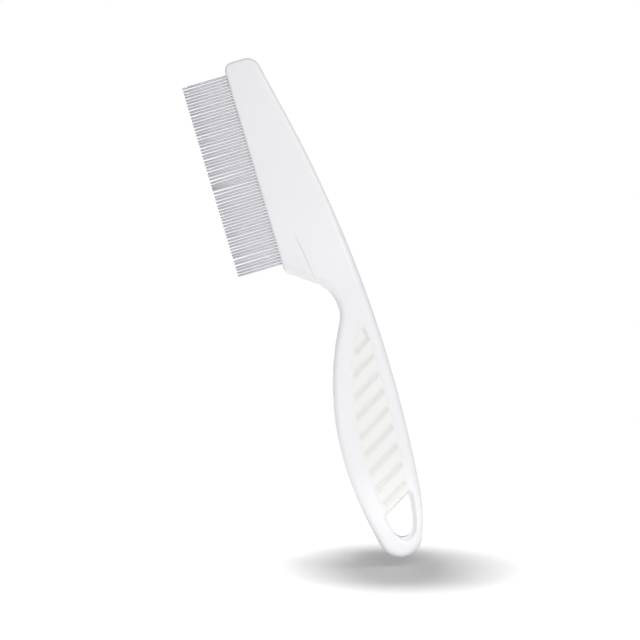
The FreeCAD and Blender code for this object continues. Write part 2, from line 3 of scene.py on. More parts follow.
import bpy
import mathutils
import numpy as np
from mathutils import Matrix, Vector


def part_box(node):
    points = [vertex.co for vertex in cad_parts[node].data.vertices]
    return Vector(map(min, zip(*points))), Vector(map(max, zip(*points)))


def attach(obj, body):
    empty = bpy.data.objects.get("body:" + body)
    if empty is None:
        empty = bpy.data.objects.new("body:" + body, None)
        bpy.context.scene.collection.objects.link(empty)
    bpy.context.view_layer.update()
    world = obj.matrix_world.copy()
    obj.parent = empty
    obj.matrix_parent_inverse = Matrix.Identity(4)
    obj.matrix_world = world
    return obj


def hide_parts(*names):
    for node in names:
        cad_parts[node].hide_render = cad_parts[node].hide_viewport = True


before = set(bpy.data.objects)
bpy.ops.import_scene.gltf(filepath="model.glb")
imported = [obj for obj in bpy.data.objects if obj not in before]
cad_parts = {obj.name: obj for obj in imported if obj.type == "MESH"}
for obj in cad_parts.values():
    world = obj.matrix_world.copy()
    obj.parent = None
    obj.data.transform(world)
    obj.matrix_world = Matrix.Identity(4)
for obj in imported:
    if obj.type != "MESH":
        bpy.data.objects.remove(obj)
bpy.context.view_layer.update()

# ---------------------------------------------------------------------------------------------
# Camera
# A long lens looks straight at the comb's front face. It is rolled clockwise, so that the comb
# leans to the left as it does when it is held up by the tail.
# ---------------------------------------------------------------------------------------------
MM = 0.001
LEAN = math.radians(16.6)
LENS = 100.0                     # mm, on a sensor 36 mm wide
SENSOR = 36.0
FIELD = 220.6 * MM               # width of the view at the comb
camera_data = bpy.data.cameras.new("camera")
camera_data.lens = LENS
camera_data.sensor_width = SENSOR
camera_data.clip_start = 0.01
camera_data.clip_end = 20.0
camera = bpy.data.objects.new("camera", camera_data)
view_distance = FIELD * LENS / SENSOR
camera.location = (2.1 * MM, -view_distance, 86.4 * MM)
level = mathutils.Euler((math.radians(90), 0, 0)).to_matrix()
camera.rotation_euler = (mathutils.Matrix.Rotation(LEAN, 3, "Y") @ level).to_euler()
bpy.context.collection.objects.link(camera)
bpy.context.scene.camera = camera

# ---------------------------------------------------------------------------------------------
# Studio
# A white surround, a large softbox in front to the right, weaker ones above to the right and
# behind to the left, a narrow low lamp on the tail, and a lamp overhead. The white floor is tilted
# by the comb's lean, so that the camera, which is rolled by the same angle, sees it level.
# ---------------------------------------------------------------------------------------------
scene = bpy.context.scene
scene.view_settings.view_transform = "Standard"
scene.view_settings.look = "None"


def linear(hex_colour):
    """An sRGB hex colour as linear red, green, blue and an alpha of one."""
    channels = np.array([int(hex_colour[place:place + 2], 16) for place in (1, 3, 5)]) / 255
    low, high = channels / 12.92, ((channels + 0.055) / 1.055) ** 2.4
    return (*np.where(channels <= 0.04045, low, high), 1.0)


def add_node(tree, kind, settings=(), sockets=(), links=()):
    """One shader node with its settings, its unlinked socket values and its incoming links."""
    node = tree.nodes.new(kind)
    for name, value in dict(settings).items():
        setattr(node, name, value)
    for name, value in dict(sockets).items():
        node.inputs[name].default_value = value
    for name, source in dict(links).items():
        tree.links.new(source, node.inputs[name])
    return node


def new_material(name):
    """An empty node material; returns it, its tree and its output node."""
    material = bpy.data.materials.new(name)
    material.use_nodes = True
    material.node_tree.nodes.clear()
    output = add_node(material.node_tree, "ShaderNodeOutputMaterial")
    return material, material.node_tree, output


world = bpy.data.worlds.new("studio_surround")
world.use_nodes = True
world.node_tree.nodes.clear()
WORLD_LIGHT = 0.34               # how much the surround lights the comb
path = add_node(world.node_tree, "ShaderNodeLightPath")
seen = add_node(world.node_tree, "ShaderNodeBackground",
                sockets={"Color": linear("#FFFFFF"), "Strength": 1.0})
cast = add_node(world.node_tree, "ShaderNodeBackground",
                sockets={"Color": linear("#FCFBFF"), "Strength": WORLD_LIGHT})
mixed = add_node(world.node_tree, "ShaderNodeMixShader", links={"Fac": path.outputs["Is Camera Ray"]})
world.node_tree.links.new(cast.outputs[0], mixed.inputs[1])
world.node_tree.links.new(seen.outputs[0], mixed.inputs[2])
add_node(world.node_tree, "ShaderNodeOutputWorld", links={"Surface": mixed.outputs[0]})
scene.world = world

FLOOR_RADIUS = 0.30
FLOOR_SIDES = 96
FLOOR_GAP = 3.0 * MM             # the tail hangs this far above the floor
FADE_START, FADE_END = 0.13, 0.28     # m from the tail: the paper fades out, so no horizon shows
PAPER_WHITE = "#D4D4D4"               # the lamps bring it up to a full white in the picture
TAIL_CENTRE, TAIL_ROUND = (7.4 * MM, 7.6 * MM), 7.6 * MM
turns = np.arange(FLOOR_SIDES) * 2 * math.pi / FLOOR_SIDES
drop = TAIL_ROUND + FLOOR_GAP
foot_x, foot_z = TAIL_CENTRE[0] - drop * math.sin(LEAN), TAIL_CENTRE[1] - drop * math.cos(LEAN)
across, away = np.cos(turns) * FLOOR_RADIUS, np.sin(turns) * FLOOR_RADIUS
floor_mesh = bpy.data.meshes.new("floor")
floor_mesh.from_pydata(np.stack((foot_x + across * math.cos(LEAN), away, foot_z - across * math.sin(LEAN)),
                                -1).tolist(), [], [tuple(range(FLOOR_SIDES))])
floor = bpy.data.objects.new("floor", floor_mesh)
floor_material, tree, output = new_material("matt_white_paper")
place = add_node(tree, "ShaderNodeTexCoord")
from_foot = add_node(tree, "ShaderNodeVectorMath", {"operation": "DISTANCE"}, {1: (foot_x, 0, foot_z)},
                     {0: place.outputs["Object"]})
fade = add_node(tree, "ShaderNodeMapRange", {"interpolation_type": "SMOOTHSTEP"},
                {"From Min": FADE_START, "From Max": FADE_END}, {"Value": from_foot.outputs["Value"]})
paper = add_node(tree, "ShaderNodeBsdfDiffuse", sockets={"Color": linear(PAPER_WHITE)})
clear = add_node(tree, "ShaderNodeBsdfTransparent")
faded = add_node(tree, "ShaderNodeMixShader", links={"Fac": fade.outputs["Result"]})
tree.links.new(paper.outputs[0], faded.inputs[1])
tree.links.new(clear.outputs[0], faded.inputs[2])
tree.links.new(faded.outputs[0], output.inputs["Surface"])
floor.data.materials.append(floor_material)
bpy.context.collection.objects.link(floor)


def softbox(name, place, aim, size, watts, colour, spread=180):
    """A square area light that shines from a place towards an aim, both in metres, and spreads by
    an angle in degrees. It isn't seen by the camera."""
    data = bpy.data.lights.new(name, "AREA")
    data.shape = "SQUARE"
    data.size = size
    data.energy = watts
    data.color = linear(colour)[:3]
    data.spread = math.radians(spread)
    light = bpy.data.objects.new(name, data)
    light.location = place
    direction = mathutils.Vector(aim) - mathutils.Vector(place)
    light.rotation_euler = direction.to_track_quat("-Z", "Y").to_euler()
    light.visible_camera = False
    bpy.context.collection.objects.link(light)


MIDDLE = (0, 0, 0.09)
softbox("front_right", (0.24, -0.85, 0.36), MIDDLE, 0.45, 3.72, "#FFFFFF")
softbox("above_right", (0.62, -0.15, 0.60), MIDDLE, 0.45, 0.9, "#FFFFFF")
softbox("low_front", (0.010, -0.09, 0.014), (0.007, 0, 0.005), 0.012, 0.0007, "#FFFFFF", 40)
softbox("rear_left", (-0.35, 0.80, 0.35), MIDDLE, 0.5, 2.5, "#FFFFFF")
softbox("overhead", (TAIL_CENTRE[0], 0, 0.95), (TAIL_CENTRE[0], 0, 0), 0.13, 11.5, "#FFFFFF")

# A small black flag hangs between the overhead lamp and the comb, so that a soft pool of shade
# lies under the tail.
FLAG_X, FLAG_Y, FLAG_Z, FLAG_HALF_X, FLAG_HALF_Y = 0.0042, -0.003, 0.215, 0.0245, 0.045
flag_mesh = bpy.data.meshes.new("flag")
flag_edge = np.stack((FLAG_X + np.cos(turns) * FLAG_HALF_X, FLAG_Y + np.sin(turns) * FLAG_HALF_Y,
                      np.full(FLOOR_SIDES, FLAG_Z)), -1)
flag_mesh.from_pydata(flag_edge.tolist(), [], [tuple(range(FLOOR_SIDES))])
flag = bpy.data.objects.new("flag", flag_mesh)
flag_material, tree, output = new_material("black_felt")
felt = add_node(tree, "ShaderNodeBsdfDiffuse", sockets={"Color": linear("#272727")})
tree.links.new(felt.outputs[0], output.inputs["Surface"])
flag.data.materials.append(flag_material)
flag.visible_camera = False
flag.visible_glossy = False
bpy.context.collection.objects.link(flag)

# ---------------------------------------------------------------------------------------------
# Handle body
# One injection moulding in white ABS: the head with its slot for the pins, the raised neck, and
# the two rims of the grip that meet again in the tail. It is drawn from its tooth edge, in mm.
# ---------------------------------------------------------------------------------------------
TOOTH_EDGE_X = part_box("pins")[0][0] / MM + 15.8      # the pins stand 15.8 mm out of the tooth edge
LENGTH = 180.0
TAIL_X, TAIL_R, TAIL_BLEND_R = 12.3, 7.6, 56.0
SPINE_R, SPINE_X, SPINE_Z, SPINE_STRAIGHT_Z = 441.0, 25.6 - 441.0, 66.0, 158.0
BELLY_R, BELLY_X, BELLY_Z = 97.0, 98.0, 37.0
NECK_R, NECK_Z = 12.0, 89.2
HEEL_R, HEEL_Z = 3.0, 107.3
CROWN_FRONT_R, CROWN_BACK_R = 3.0, 4.5
RIM_FRONT, RIM_BACK = 6.3, 4.1
WINDOW_R, WINDOW_X, WINDOW_Z, WINDOW_BLEND_R, WINDOW_TOP_R = 3.3, 13.8, 9.9, 26.0, 1.4


def crossing(centre_a, reach_a, centre_b, reach_b):
    """The upper point that lies reach_a from one centre and reach_b from the other."""
    a, b = np.array(centre_a), np.array(centre_b)
    apart = np.linalg.norm(b - a)
    unit = (b - a) / apart
    along = (reach_a ** 2 - reach_b ** 2 + apart ** 2) / (2 * apart)
    return a + unit * along + np.array((-unit[1], unit[0])) * math.sqrt(reach_a ** 2 - along ** 2)


def towards(start, goal, distance):
    """The point at a distance from start in the direction of goal."""
    gap = np.array(goal) - np.array(start)
    return np.array(start) + gap / np.linalg.norm(gap) * distance


def side_of(circle, radius, z, side):
    """x of a circle's right side (side 1) or left side (side -1) at the heights z."""
    return circle[0] + side * np.sqrt(np.maximum(radius ** 2 - (z - circle[1]) ** 2, 0))


SPINE, BELLY = (SPINE_X, SPINE_Z), (BELLY_X, BELLY_Z)


def front_arc(front_x, end, end_r):
    """The arc that leaves the belly's widest height upright and closes round an end circle."""
    reach, drop = end[0] - front_x, BELLY_Z - end[1]
    radius = (reach ** 2 + drop ** 2 - end_r ** 2) / (2 * (reach - end_r))
    return (front_x + radius, BELLY_Z), radius


def lower_end(z, end, end_r, blend_r, front_r, back_r):
    """Left and right sides of the grip's outline (or of its window) below the belly and neck."""
    low, low_r = front_arc(BELLY_X - front_r, end, end_r)
    left_touch = towards(low, end, low_r)[1]
    left = np.where(z < left_touch, side_of(end, end_r, z, -1), side_of(low, low_r, z, -1))
    left = np.where(z < BELLY_Z, left, side_of(BELLY, front_r, z, -1))
    blend = crossing(SPINE, back_r - blend_r, end, blend_r - end_r)
    low_touch, high_touch = towards(blend, end, blend_r)[1], towards(SPINE, blend, back_r)[1]
    right = np.where(z < low_touch, side_of(end, end_r, z, 1), side_of(blend, blend_r, z, 1))
    right = np.where(z < high_touch, right, side_of(SPINE, back_r, z, 1))
    return left, right


def comb_sides(z):
    """x of the comb's left and right outline at each height z: arcs and straight lines that touch."""
    left, right = lower_end(z, (TAIL_X, TAIL_R), TAIL_R, TAIL_BLEND_R, BELLY_R, SPINE_R)
    neck = (BELLY_X - math.sqrt((BELLY_R + NECK_R) ** 2 - (NECK_Z - BELLY_Z) ** 2), NECK_Z)
    heel = (HEEL_R, HEEL_Z)
    middle = towards(heel, neck, np.linalg.norm(np.subtract(neck, heel)) * HEEL_R / (HEEL_R + NECK_R))
    gap = np.linalg.norm(np.subtract(neck, middle))
    turn = math.acos(NECK_R / gap)
    direction = math.atan2(middle[1] - neck[1], middle[0] - neck[0]) - turn
    neck_touch = np.array(neck) + NECK_R * np.array((math.cos(direction), math.sin(direction)))
    heel_touch = np.array(heel) - HEEL_R * np.array((math.cos(direction), math.sin(direction)))
    belly_touch = towards(BELLY, neck, BELLY_R)[1]
    left = np.where(z > belly_touch, side_of(neck, NECK_R, z, 1), left)
    slope = (heel_touch[0] - neck_touch[0]) / (heel_touch[1] - neck_touch[1])
    left = np.where(z > neck_touch[1], neck_touch[0] + (z - neck_touch[1]) * slope, left)
    left = np.where(z > heel_touch[1], side_of(heel, HEEL_R, np.minimum(z, HEEL_Z), -1), left)
    crown = (CROWN_FRONT_R, LENGTH - CROWN_FRONT_R)
    left = np.where(z > crown[1], side_of(crown, CROWN_FRONT_R, z, -1), left)
    lean = math.asin((SPINE_STRAIGHT_Z - SPINE_Z) / SPINE_R)
    start = np.array((SPINE_X + SPINE_R * math.cos(lean), SPINE_STRAIGHT_Z))
    right = np.where(z > SPINE_STRAIGHT_Z, start[0] - (z - start[1]) * math.tan(lean), right)
    back_z = LENGTH - CROWN_BACK_R
    rise = (back_z - start[1] + CROWN_BACK_R * math.sin(lean)) / math.cos(lean)
    back_x = start[0] - rise * math.sin(lean) - CROWN_BACK_R * math.cos(lean)
    touch_z = back_z + CROWN_BACK_R * math.sin(lean)
    right = np.where(z > touch_z, side_of((back_x, back_z), CROWN_BACK_R, z, 1), right)
    return left, right


WINDOW_END = (WINDOW_X, WINDOW_Z)
WINDOW_TOP = crossing(SPINE, SPINE_R - RIM_BACK - WINDOW_TOP_R, BELLY, BELLY_R - RIM_FRONT - WINDOW_TOP_R)
WINDOW_LOW_Z, WINDOW_HIGH_Z = WINDOW_Z - WINDOW_R, WINDOW_TOP[1] + WINDOW_TOP_R


def window_sides(z):
    """x of the window's left and right sides: the outline's arcs moved in, and a small round top."""
    front_r, back_r = BELLY_R - RIM_FRONT, SPINE_R - RIM_BACK
    left, right = lower_end(z, WINDOW_END, WINDOW_R, WINDOW_BLEND_R, front_r, back_r)
    left_touch = towards(BELLY, WINDOW_TOP, front_r)[1]
    right_touch = towards(SPINE, WINDOW_TOP, back_r)[1]
    left = np.where(z > left_touch, side_of(WINDOW_TOP, WINDOW_TOP_R, z, -1), left)
    right = np.where(z > right_touch, side_of(WINDOW_TOP, WINDOW_TOP_R, z, 1), right)
    return left, right


def smooth_step(value):
    """From 0 to 1 along an S as the value goes from 0 to 1, and level outside."""
    value = np.clip(value, 0, 1)
    return value * value * (3 - 2 * value)


GRIP_HALF, HEAD_HALF, BLADE_HALF, TAIL_HALF = 4.0, 2.5, 2.8, 3.0
NECK_FADE = (92.0, 128.0)
TAIL_FADE_Z = 40.0
STEP_HIGH, STEP_LOW = (5.4, 128.0), (10.2, 94.0)
STEP_SOFTNESS, STEP_HIGH_PART, SWEEP = 0.4, 0.26, 9.0       # a small crisp step, and a wide sweep


def step_line(z):
    """x of the line where the raised neck steps up from the blade."""
    return STEP_LOW[0] + (z - STEP_LOW[1]) * (STEP_HIGH[0] - STEP_LOW[0]) / (STEP_HIGH[1] - STEP_LOW[1])


def face_height(x, z):
    """Half the moulding's thickness before its edges are rounded: full at the grip, thinner by a
    shallow arc towards the tail and by an S towards the head. On the blade it is level, sweeps up
    towards the neck, and takes the last of the rise in a small step along a slanted line."""
    up_neck = smooth_step((z - NECK_FADE[0]) / (NECK_FADE[1] - NECK_FADE[0]))
    neck = GRIP_HALF + (HEAD_HALF - GRIP_HALF) * up_neck
    tail_drop = (GRIP_HALF - TAIL_HALF) * (np.maximum(TAIL_FADE_Z - z, 0) / TAIL_FADE_Z) ** 2
    height = neck - tail_drop
    crisp = 1 - smooth_step((x - step_line(z)) / STEP_SOFTNESS)
    wide = smooth_step((step_line(z) - x) / SWEEP)
    drop = np.maximum(height - BLADE_HALF, 0)
    small = np.minimum(drop, STEP_HIGH_PART)
    return height - np.where(z > STEP_LOW[1], small * crisp + (drop - small) * wide, 0)


def gap_to(points, curve):
    """Distance from each point to a closed curve given by its corners, and the nearest corner."""
    tree = mathutils.kdtree.KDTree(len(curve))
    for number, (x, z) in enumerate(curve):
        tree.insert((x, z, 0), number)
    tree.balance()
    found = [tree.find((x, z, 0))[1] for x, z in points.reshape(-1, 2)]
    corner = np.array(found).reshape(points.shape[:-1])
    gap = np.full(corner.shape, np.inf)
    for step in (-1, 1):
        start, end = curve[corner], curve[(corner + step) % len(curve)]
        run = end - start
        length = np.maximum((run ** 2).sum(-1), 1e-12)
        share = np.clip(((points - start) * run).sum(-1) / length, 0, 1)
        gap = np.minimum(gap, np.linalg.norm(points - start - run * share[..., None], axis=-1))
    return gap, corner


def round_off(gap, radius):
    """How far a rounded edge of this radius lies below the flat at a gap from the edge."""
    inside = np.clip(radius - gap, 0, None)
    return radius - np.sqrt(np.maximum(radius ** 2 - inside ** 2, 0))


def packed(start, end, count, at_start=True, at_end=True):
    """Values from start to end, closer together at both ends or at the one that is named."""
    t = np.linspace(0, 1, count)
    if at_start and at_end:
        t = (1 - np.cos(math.pi * t)) / 2
    elif at_start:
        t = 1 - np.cos(math.pi / 2 * t)
    else:
        t = np.sin(math.pi / 2 * t)
    return start + (end - start) * t


def traced(sides, low, high, count):
    """A closed curve from two sides: up the left one and down the right one."""
    z = packed(low, high, count)
    left, right = sides(z)
    points = np.concatenate((np.stack((left, z), -1), np.stack((right, z), -1)[::-1]))
    keep = np.linalg.norm(points - np.roll(points, 1, 0), axis=-1) > 1e-9
    return points[keep]


HANDLE_EDGE_R, SPINE_EDGE_R, TOOTH_EDGE_R = 2.2, 1.3, 0.8
PANEL_EDGE_R = 0.15
# The funnel round the hang hole is wider on its right side, and fades out beside the panel.
HOLE_SLOPE_LEFT, HOLE_SLOPE_RIGHT, HOLE_SLOPE_DEPTH = 0.9, 1.75, 0.85
HOLE_WIDEN_X, HOLE_WIDEN_RUN = 10.5, 4.0
HOLE_FADE_BELOW, HOLE_FADE_RUN = 0.4, 1.2
GRIP_SLOPE, INSERT_LOW_Z = math.tan(math.radians(30)), 9.9
SLOT_LOW, SLOT_HIGH, SLOT_DEPTH = 108.1, 176.9, 1.3
SLOT_LIP, SLOT_LIP_DEPTH = 0.6, 0.04                 # a slight lead-in just outside the slot's mouth
SLOT_MOUTH = 0.5                                     # share of the edge's height that the slot takes
EDGE_FADE_LEFT, EDGE_FADE_RIGHT = (102.5, 106.5), (95.0, 130.0)
EDGE_ACROSS_X, EDGE_ACROSS_RUN, EDGE_HEAD_Z = 4.0, 10.0, 100.0


def edge_radius(curve):
    """Rounding at each point of the outline: wide round the grip, small along the tooth edge."""
    x, z = curve[:, 0], curve[:, 1]
    left = smooth_step((z - EDGE_FADE_LEFT[0]) / (EDGE_FADE_LEFT[1] - EDGE_FADE_LEFT[0]))
    right = smooth_step((z - EDGE_FADE_RIGHT[0]) / (EDGE_FADE_RIGHT[1] - EDGE_FADE_RIGHT[0]))
    on_left = HANDLE_EDGE_R + (TOOTH_EDGE_R - HANDLE_EDGE_R) * left
    on_right = HANDLE_EDGE_R + (SPINE_EDGE_R - HANDLE_EDGE_R) * right
    across = smooth_step((x - EDGE_ACROSS_X) / EDGE_ACROSS_RUN)
    return np.where(z > EDGE_HEAD_Z, on_left + (on_right - on_left) * across, HANDLE_EDGE_R)


def handle_surface():
    """A ladder of level loops. At each height z a loop runs over the front face from the left side to
    the right side, round the edge, and back over the rear face. Across the face its height is the
    face height less a quarter round along the outline and another along the window. The columns
    follow the outline, the slanted step and the window. Between the window's ends the loop is cut
    at the window and its walls join front to back. Along the tooth edge the loop dips into the slot."""
    low_z, top_z = 0.02, LENGTH
    z = np.concatenate((
        packed(low_z, WINDOW_LOW_Z, 26)[:-1], packed(WINDOW_LOW_Z, 20, 26, True, False)[:-1],
        np.linspace(20, 74, 60)[:-1], packed(74, WINDOW_HIGH_Z, 26, False, True)[:-1],
        packed(WINDOW_HIGH_Z, 94, 20, True, False)[:-1], np.linspace(94, SLOT_LOW, 44),
        np.linspace(SLOT_LOW + 0.06, SLOT_HIGH - 0.06, 90),
        packed(SLOT_HIGH, top_z, 20, False, True)))
    left, right = comb_sides(z)
    bored = (z > WINDOW_LOW_Z + 1e-6) & (z < WINDOW_HIGH_Z - 1e-6)
    window_left, window_right = window_sides(np.clip(z, WINDOW_LOW_Z, WINDOW_HIGH_Z))
    for end, past in ((WINDOW_LOW_Z, z <= WINDOW_LOW_Z + 1e-6), (WINDOW_HIGH_Z, z >= WINDOW_HIGH_Z - 1e-6)):
        end_left, end_right = comb_sides(np.array([end]))
        end_x = window_sides(np.array([end]))[0]
        split = left + (right - left) * (end_x - end_left) / (end_right - end_left)
        window_left, window_right = np.where(past, split, window_left), np.where(past, split, window_right)

    width = window_left - left
    step = np.clip(step_line(z) + STEP_SOFTNESS / 2,
                   left + np.minimum(1.2, 0.3 * width), left + 0.7 * width)
    half_step = np.minimum(0.45, 0.15 * width)
    edge_part = packed(0, 1, 19, True, False)[:-1]
    step_part = np.linspace(0, 1, 7)[:-1]
    inner_part = packed(0, 1, 16, False, True)
    x = np.concatenate((
        left[:, None] + (step - half_step - left)[:, None] * edge_part,
        (step - half_step)[:, None] + 2 * half_step[:, None] * step_part,
        (step + half_step)[:, None] + (window_left - step - half_step)[:, None] * inner_part,
        window_right[:, None] + (right - window_right)[:, None] * packed(0, 1, 26)), axis=1)
    first_right = len(edge_part) + len(step_part) + len(inner_part)
    columns = x.shape[1]
    flat = np.stack((x, np.repeat(z[:, None], columns, 1)), -1)

    outline = traced(comb_sides, 0, LENGTH, 2600)
    window = traced(window_sides, WINDOW_LOW_Z, WINDOW_HIGH_Z, 1600)
    gap, corner = gap_to(flat, outline)
    gap[:, 0] = gap[:, -1] = 0
    radius = edge_radius(outline)[corner]
    window_gap, window_corner = gap_to(flat, window)
    along = window[window_corner, 1] - window[window_corner, 0] * GRIP_SLOPE
    beside_panel = smooth_step((along - INSERT_LOW_Z + HOLE_FADE_BELOW) / HOLE_FADE_RUN)
    to_right = smooth_step((window[window_corner, 0] - HOLE_WIDEN_X) / HOLE_WIDEN_RUN)
    slope_width = HOLE_SLOPE_LEFT + (HOLE_SLOPE_RIGHT - HOLE_SLOPE_LEFT) * to_right
    into_hole = HOLE_SLOPE_DEPTH * slope_width * (1 - smooth_step(window_gap / slope_width))
    beside = round_off(window_gap, PANEL_EDGE_R)
    window_drop = into_hole + (beside - into_hole) * beside_panel
    window_gap[bored, first_right - 1] = window_gap[bored, first_right] = 0
    height = face_height(flat[..., 0], flat[..., 1])
    height = height - round_off(gap, radius) - window_drop

    front = np.stack((x, -height, flat[..., 1]), -1)
    rear = front[:, ::-1] * (1, -1, 1)
    levels = np.array([0.75, 0.62, 0.535, 0.47, -0.47, -0.535, -0.62, -0.75])
    in_slot = (z > SLOT_LOW + 0.03) & (z < SLOT_HIGH - 0.03)
    lip = np.where(np.abs(levels) < SLOT_LIP, SLOT_LIP_DEPTH, 0.0)
    dip = np.where(np.abs(levels) < SLOT_MOUTH, SLOT_DEPTH, lip)

    def rim(side, direction, pushed):
        """The points of the outer edge between the two faces, at the listed shares of its height."""
        y = height[:, side][:, None] * levels * direction
        shift = np.where(in_slot[:, None], dip, 0) * pushed
        return np.stack((flat[:, side, :1] + shift, y, np.repeat(z[:, None], len(levels), 1)), -1)

    loop = np.concatenate((front, rim(-1, -1, 0), rear, rim(0, 1, 1)), axis=1)
    number = np.arange(loop.shape[0] * loop.shape[1]).reshape(loop.shape[:2])
    rear_start = columns + len(levels)
    rear_split = rear_start + columns - first_right
    number[~bored, first_right] = number[~bored, first_right - 1]
    number[~bored, rear_split - 1] = number[~bored, rear_split]
    faces = []
    for place in range(loop.shape[1]):
        after = (place + 1) % loop.shape[1]
        if place in (first_right - 1, rear_split - 1):
            continue
        faces.append(np.stack((number[:-1, place], number[:-1, after],
                               number[1:, after], number[1:, place]), -1))
    points = [loop.reshape(-1, 3)]
    inside = np.flatnonzero(bored)
    span = np.arange(inside[0] - 1, inside[-1] + 2)
    wall_shares = np.linspace(-1, 1, 6)[1:-1]
    walls = []
    for column, twin in ((first_right - 1, rear_split), (first_right, rear_split - 1)):
        y = height[span, column][:, None] * wall_shares
        wall = np.stack((np.repeat(x[span, column][:, None], 4, 1), y,
                         np.repeat(z[span][:, None], 4, 1)), -1)
        indices = np.arange(wall.shape[0] * 4).reshape(-1, 4) + sum(len(part) for part in points)
        points.append(wall.reshape(-1, 3))
        walls.append(np.concatenate((number[span, column][:, None], indices,
                                     number[span, twin][:, None]), 1))
    walls[1][[0, -1]] = walls[0][[0, -1]]
    for wall, turned in ((walls[0], False), (walls[1], True)):
        quads = np.stack((wall[:-1, :-1], wall[:-1, 1:], wall[1:, 1:], wall[1:, :-1]), -1).reshape(-1, 4)
        faces.append(quads[:, ::-1] if turned else quads)
    caps = [list(dict.fromkeys(number[0, ::-1].tolist())), list(dict.fromkeys(number[-1].tolist()))]
    return np.concatenate(points), np.concatenate(faces), caps


def make_piece(name, points, quads, caps=(), *, sharp_degrees, groove=None):
    """An object from points in mm on the comb's own axes, its quads and any flat end polygons.
    Corners that fell together are dropped, and only the points in use are kept. A groove depth from
    0 to 1 at each point becomes an attribute for the material."""
    polygons = [list(dict.fromkeys(quad)) for quad in quads.tolist()]
    polygons = [polygon for polygon in polygons if len(polygon) > 2] + [list(cap) for cap in caps]
    used = np.unique(np.concatenate([np.array(polygon) for polygon in polygons]))
    renumbered = np.zeros(len(points), int)
    renumbered[used] = np.arange(len(used))
    placed = (points[used] * MM + (TOOTH_EDGE_X * MM, 0, 0)).tolist()
    mesh = bpy.data.meshes.new(name)
    mesh.from_pydata(placed, [], [renumbered[polygon].tolist() for polygon in polygons])
    mesh.polygons.foreach_set("use_smooth", np.ones(len(mesh.polygons), bool))
    mesh.set_sharp_from_angle(angle=math.radians(sharp_degrees))
    if groove is not None:
        mesh.attributes.new("groove", "FLOAT", "POINT").data.foreach_set("value", groove[used])
    mesh.update()
    piece = bpy.data.objects.new(name, mesh)
    bpy.context.collection.objects.link(piece)
    return piece


handle = make_piece("handle_moulding", *handle_surface(), sharp_degrees=50)


GLOSS_DRIFT = 0.04               # how far the roughness wanders to either side


def moulded_plastic(name, colour, roughness, grain_mm, grain_depth_mm, drift_mm, painted_groove_shade=None):
    """A moulded polymer: a fine spark-eroded grain, and a slow drift in gloss where it cooled. A greyer
    groove colour, which paints shade into the grooves, is reached at the bottom of the piece's grooves."""
    material, tree, output = new_material(name)
    place = add_node(tree, "ShaderNodeTexCoord")
    grain = add_node(tree, "ShaderNodeTexNoise", sockets={"Scale": 1 / (grain_mm * MM), "Detail": 2.0},
                     links={"Vector": place.outputs["Object"]})
    bump = add_node(tree, "ShaderNodeBump", sockets={"Strength": 1.0, "Distance": grain_depth_mm * MM},
                    links={"Height": grain.outputs[0]})
    drift = add_node(tree, "ShaderNodeTexNoise", sockets={"Scale": 1 / (drift_mm * MM), "Detail": 2.0},
                     links={"Vector": place.outputs["Object"]})
    gloss = add_node(tree, "ShaderNodeMapRange",
                     sockets={"To Min": roughness - GLOSS_DRIFT, "To Max": roughness + GLOSS_DRIFT},
                     links={"Value": drift.outputs[0]})
    shader = add_node(tree, "ShaderNodeBsdfPrincipled", sockets={"Base Color": linear(colour), "IOR": 1.54},
                      links={"Normal": bump.outputs[0], "Roughness": gloss.outputs[0]})
    # Painted shade: the base colour turns greyer with the groove depth, darkest at each groove's bottom.
    if painted_groove_shade:
        depth = add_node(tree, "ShaderNodeAttribute", {"attribute_name": "groove"})
        shade = add_node(tree, "ShaderNodeMix", {"data_type": "RGBA"},
                         {6: linear(colour), 7: linear(painted_groove_shade)}, {0: depth.outputs["Fac"]})
        tree.links.new(shade.outputs[2], shader.inputs["Base Color"])
    tree.links.new(shader.outputs[0], output.inputs["Surface"])
    return material


# White ABS from a finely eroded mould: a satin white that is slightly cool, with soft highlights.
abs_plastic = moulded_plastic("white_abs_injection_moulded_satin", "#F4F3F5", 0.36, 0.22, 0.0035, 9.0)
handle.data.materials.append(abs_plastic)
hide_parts("handle_body")
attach(handle, "root")

# ---------------------------------------------------------------------------------------------
# Grip insert
# A soft rubber panel moulded into the window in a second shot. Nine slanted grooves with round
# ends part its ribs, and its lower end stops on the same slant above the hang hole.
# ---------------------------------------------------------------------------------------------
GROOVES = np.array([13.7, 20.0, 26.3, 32.7, 39.0, 45.3, 51.5, 57.9, 63.8])
GROOVE_HALF, GROOVE_END_R, GROOVE_DEPTH, GROOVE_INSET = 1.5, 1.6, 0.9, 1.3
PANEL_DROP, RIB_RISE, RIB_SHOULDER = 0.16, 0.12, 2.0
GROOVE_CURVE = 1.35              # a V with soft shoulders
DOT_INSET, LEFT_DOT_LIFT, RIGHT_DOT_LIFT = 0.2, -0.15, 0.25     # the round ends of a groove
TOP_GROOVE, TOP_GROOVE_HALF = ((20.7, 75.4), (20.2, 79.2)), 0.9     # it runs up beside the spine
LOW_END_R, LOW_END_SHOULDER = 1.2, 1.2      # rounding over the hang hole, and how soon the ribs fall there


